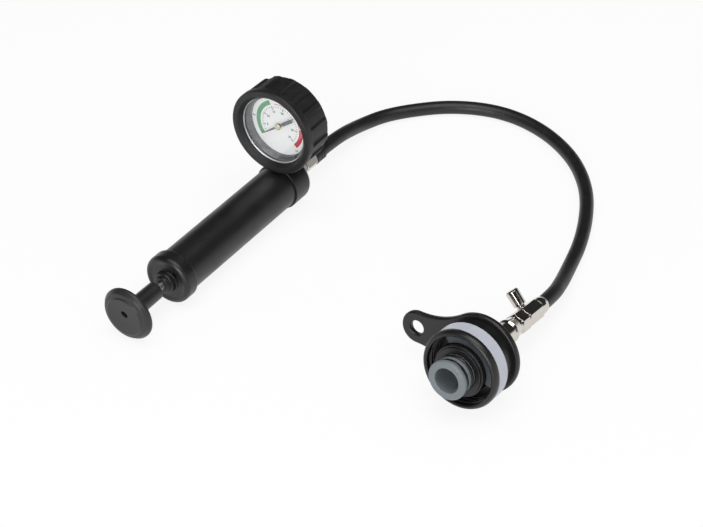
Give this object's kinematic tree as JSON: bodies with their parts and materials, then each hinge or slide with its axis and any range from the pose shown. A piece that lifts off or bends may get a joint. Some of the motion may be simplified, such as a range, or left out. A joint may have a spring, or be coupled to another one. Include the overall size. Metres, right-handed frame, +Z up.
{
  "type": "radiator pressure tester",
  "caption": "Hand pump with a rubber-booted dial gauge, black rubber hose, and an expansion-tank cap adapter with grey nozzle, lever tab and bleed button",
  "frame": {"origin": "on the surface the tester lies on, under the middle of its box without the hose and its two ferrules", "axes": "+X runs from the pump knob towards the hose end of the pump, +Y across from the cap adapter to the pump, +Z up"},
  "size_m": [0.4493, 0.3419, 0.1237],
  "materials": {
    "black_moulded": "moulded black plastic, satin",
    "black_tube": "black powder coat on aluminium tube",
    "black_rubber": "moulded black rubber",
    "hose_rubber": "extruded black rubber hose",
    "seal_rubber": "nitrile rubber",
    "grey_moulded": "moulded blue-grey plastic, satin",
    "pale_moulded": "moulded pale grey plastic band",
    "nickel": "bright nickel plate on brass",
    "steel": "turned steel",
    "brass": "turned brass",
    "clear": "clear window",
    "dial_white": "white printed dial",
    "dial_grey": "grey moulded ring",
    "needle_grey": "dark grey needle",
    "fibre": "pressed fibre washer"
  },
  "bodies": {
    "root": {"barrel": "black_tube", "front_cap": "black_moulded", "rod_bush": "brass", "head": "black_moulded", "head_seal": "seal_rubber", "check_valve_spring": "steel", "union_seal": "fibre", "hose_union": "nickel", "union_nut": "nickel", "pump_ferrule": "black_tube", "gauge_boot": "black_rubber", "gauge_case": "black_tube", "bezel_ring": "nickel", "crystal": "clear", "dial_ring": "dial_grey", "dial": "dial_white", "movement_plates": "brass", "bourdon_tube": "brass", "gauge_stem": "brass", "stem_seal": "fibre", "nozzle": "grey_moulded", "core_ring": "black_moulded", "retaining_clip": "steel", "tail_seal": "seal_rubber", "tail_adapter": "nickel", "valve_body": "nickel", "bleed_spring": "steel", "cap_ferrule": "nickel", "hose": "hose_rubber", "o_ring_front": "seal_rubber", "o_ring_rear": "seal_rubber"},
    "plunger": {"plunger_handle": "black_moulded", "plunger_rod": "steel", "piston": "black_moulded", "piston_cup": "seal_rubber", "piston_washer": "steel", "piston_nut": "steel"},
    "needle_set": {"needle": "needle_grey", "needle_boss": "brass", "needle_spindle": "brass"},
    "sector": {"sector_gear": "brass"},
    "link": {"tip_link": "brass"},
    "check_ball": {"check_valve_ball": "steel"},
    "bleed_button": {"bleed_knob": "nickel", "bleed_stem": "nickel", "bleed_seal": "seal_rubber"},
    "cap": {"cap_shell": "black_moulded", "code_band": "pale_moulded"}
  },
  "joints": [
    {"name": "plunger_slide", "type": "slide", "parent": "root", "child": "plunger", "axis": [-0.9999, 0, 0.0104], "range_m": [-0.007, 0.131]},
    {"name": "needle_turn", "type": "hinge", "parent": "root", "child": "needle_set", "pos_m": [0.08363, 0.1307, 0.08341], "axis": [0.9999, 0, -0.0104], "range_deg": [0, 264]},
    {"name": "sector_turn", "type": "hinge", "parent": "root", "child": "sector", "pos_m": [0.09197, 0.1307, 0.06732], "axis": [0.9999, 0, -0.0104], "range_deg": [-29.5, 0]},
    {"name": "link_turn", "type": "hinge", "parent": "sector", "child": "link", "pos_m": [0.09447, 0.1227, 0.0673], "axis": [0.9999, 0, -0.0104], "range_deg": [0, 29.5]},
    {"name": "check_ball_lift", "type": "slide", "parent": "root", "child": "check_ball", "axis": [0.9999, 0, -0.0104], "range_m": [0, 0.0012], "stiffness_N_per_m": 100, "springref_m": -0.002, "deforming": ["check_valve_spring"]},
    {"name": "bleed_press", "type": "slide", "parent": "root", "child": "bleed_button", "axis": [-0.1243, -0.703, -0.7002], "range_m": [0, 0.002], "stiffness_N_per_m": 1200, "springref_m": -0.004, "deforming": ["bleed_spring"]},
    {"name": "cap_swivel", "type": "hinge", "parent": "root", "child": "cap", "pos_m": [-0.026, -0.1369, 0.0342], "axis": [0.9896, -0.0363, -0.1392], "continuous": true}
  ],
  "couplings": [
    {"joint": "sector_turn", "follows": "needle_turn", "ratio": -0.11111},
    {"joint": "link_turn", "follows": "needle_turn", "ratio": 0.11111}
  ]
}
